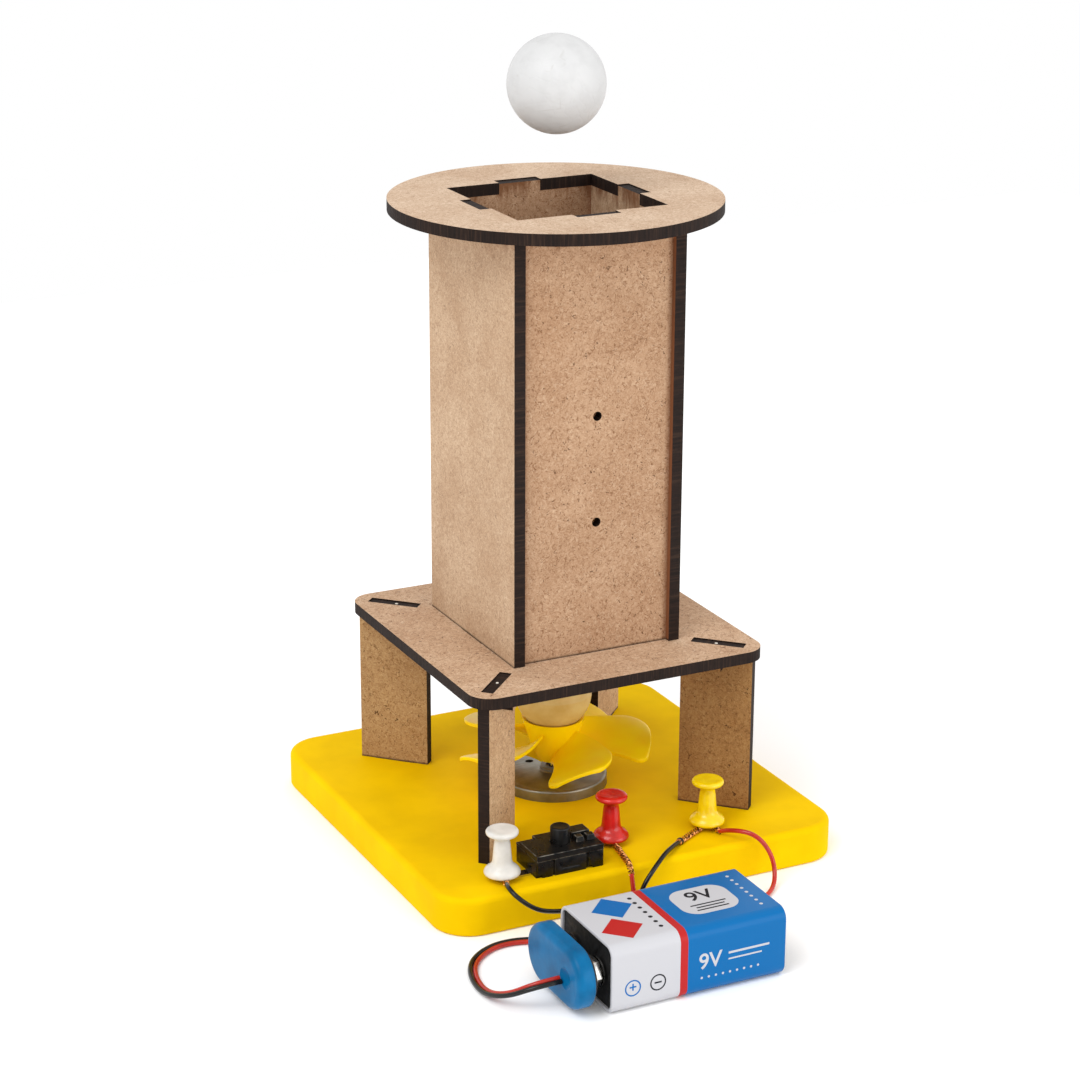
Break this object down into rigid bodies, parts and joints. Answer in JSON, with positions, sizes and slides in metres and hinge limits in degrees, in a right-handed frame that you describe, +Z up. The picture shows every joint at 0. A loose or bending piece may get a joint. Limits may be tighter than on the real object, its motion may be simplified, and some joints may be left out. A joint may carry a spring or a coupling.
{
  "type": "air stream ball toy",
  "caption": "Table-top kit: a motor fan under a square wooden tower blows air up and floats a light foam ball above a round ring.",
  "frame": {"origin": "centre of the foam board's underside, on the tower axis", "axes": "+Z up along the tower; -Y towards the panel with two holes and the switch; +X to the right of that panel"},
  "size_m": [0.1164, 0.1623, 0.2083],
  "materials": {
    "foam_board": "closed-cell foam, satin",
    "mdf": "bare, laser cut",
    "foam_ball": "expanded foam",
    "motor_metal": "nickel plated",
    "black_plastic": "moulded",
    "bright_steel": "plated",
    "fan_plastic": "moulded",
    "cream_plastic": "moulded",
    "white_plastic": "moulded",
    "red_plastic": "moulded",
    "yellow_plastic": "moulded",
    "battery_jacket": "printed metal jacket",
    "blue_vinyl": "moulded vinyl",
    "black_wire": "extruded",
    "red_wire": "extruded",
    "copper": "bare tinned copper strands"
  },
  "bodies": {
    "stand": {"base_board": "foam_board", "copper_at_red_pin": "copper", "copper_at_white_pin": "copper", "copper_at_yellow_pin_battery": "copper", "copper_at_yellow_pin_motor": "copper", "leg_back_left": "mdf", "leg_back_right": "mdf", "leg_front_left": "mdf", "leg_front_right": "mdf", "leg_peg_back_left": "mdf", "leg_peg_back_right": "mdf", "leg_peg_front_left": "mdf", "leg_peg_front_right": "mdf", "motor_can": "motor_metal", "motor_end_cap": "black_plastic", "motor_lead_black": "black_wire", "motor_lead_red": "red_wire", "motor_magnet": "black_plastic", "motor_terminals": "bright_steel", "snap_cap": "blue_vinyl", "snap_plate": "black_plastic", "snap_socket": "bright_steel", "snap_stud": "bright_steel", "switch_cover": "black_plastic", "switch_housing": "black_plastic", "switch_lug_left": "bright_steel", "switch_lug_right": "bright_steel", "switch_spring": "bright_steel", "table_plate": "mdf", "top_ring": "mdf", "tower_panel_back": "mdf", "tower_panel_front": "mdf", "tower_panel_left": "mdf", "tower_panel_right": "mdf", "wire_black_battery": "black_wire", "wire_black_motor": "black_wire", "wire_red_battery": "red_wire", "wire_red_motor": "red_wire"},
    "fan": {"fan_rotor": "fan_plastic", "fan_nose": "cream_plastic", "motor_shaft": "bright_steel", "motor_armature": "bright_steel"},
    "ball": {"foam_ball": "foam_ball"},
    "button": {"switch_button": "black_plastic"},
    "pin_white": {"pin_head_white": "white_plastic", "pin_needle_white": "bright_steel"},
    "pin_red": {"pin_head_red": "red_plastic", "pin_needle_red": "bright_steel"},
    "pin_yellow": {"pin_head_yellow": "yellow_plastic", "pin_needle_yellow": "bright_steel"},
    "battery": {"battery_case": "battery_jacket", "battery_top_board": "black_plastic", "battery_base": "black_plastic", "battery_plus_stud": "bright_steel", "battery_minus_crown": "bright_steel"}
  },
  "joints": [
    {"name": "fan_spin", "type": "hinge", "parent": "stand", "child": "fan", "pos_m": [0, 0, 0.02], "axis": [0, 0, 1], "continuous": true},
    {"name": "ball_lift", "type": "slide", "parent": "stand", "child": "ball", "axis": [0, 0, 1], "range_m": [-0.1375, 0.02]},
    {"name": "button_press", "type": "slide", "parent": "stand", "child": "button", "axis": [0, 0, -1], "range_m": [0, 0.0015], "stiffness_N_per_m": 300, "springref_m": -0.0015, "deforming": ["switch_spring"]},
    {"name": "pin_white_pull", "type": "slide", "parent": "stand", "child": "pin_white", "axis": [0, 0, 1], "range_m": [0, 0.012]},
    {"name": "pin_red_pull", "type": "slide", "parent": "stand", "child": "pin_red", "axis": [0, 0, 1], "range_m": [0, 0.012]},
    {"name": "pin_yellow_pull", "type": "slide", "parent": "stand", "child": "pin_yellow", "axis": [0, 0, 1], "range_m": [0, 0.012]},
    {"name": "battery_unplug", "type": "slide", "parent": "stand", "child": "battery", "axis": [1, 0, 0], "range_m": [0, 0.015]}
  ]
}
